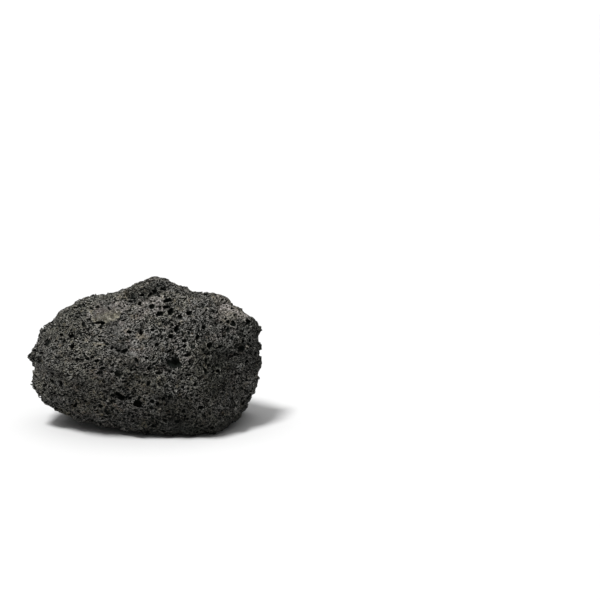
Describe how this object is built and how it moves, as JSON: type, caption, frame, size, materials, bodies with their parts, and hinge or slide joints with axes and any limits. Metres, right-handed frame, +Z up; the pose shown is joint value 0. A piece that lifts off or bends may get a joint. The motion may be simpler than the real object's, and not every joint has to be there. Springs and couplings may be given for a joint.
{
  "type": "lava rock",
  "caption": "Oblong block of dark vesicular lava rock, pitted all over with burst bubbles, resting on a flat patch of its underside.",
  "frame": {"origin": "on the ground, under the centre of the block's bounding box", "axes": "+X along the block towards its right end, -Y is the front that faces the viewer, +Z up"},
  "size_m": [0.1549, 0.1065, 0.098],
  "materials": {
    "vesicular_basalt": "rough, porous, matt dark grey with brown dust on the upper faces"
  },
  "bodies": {
    "root": {"lava_rock": "vesicular_basalt"}
  },
  "joints": []
}
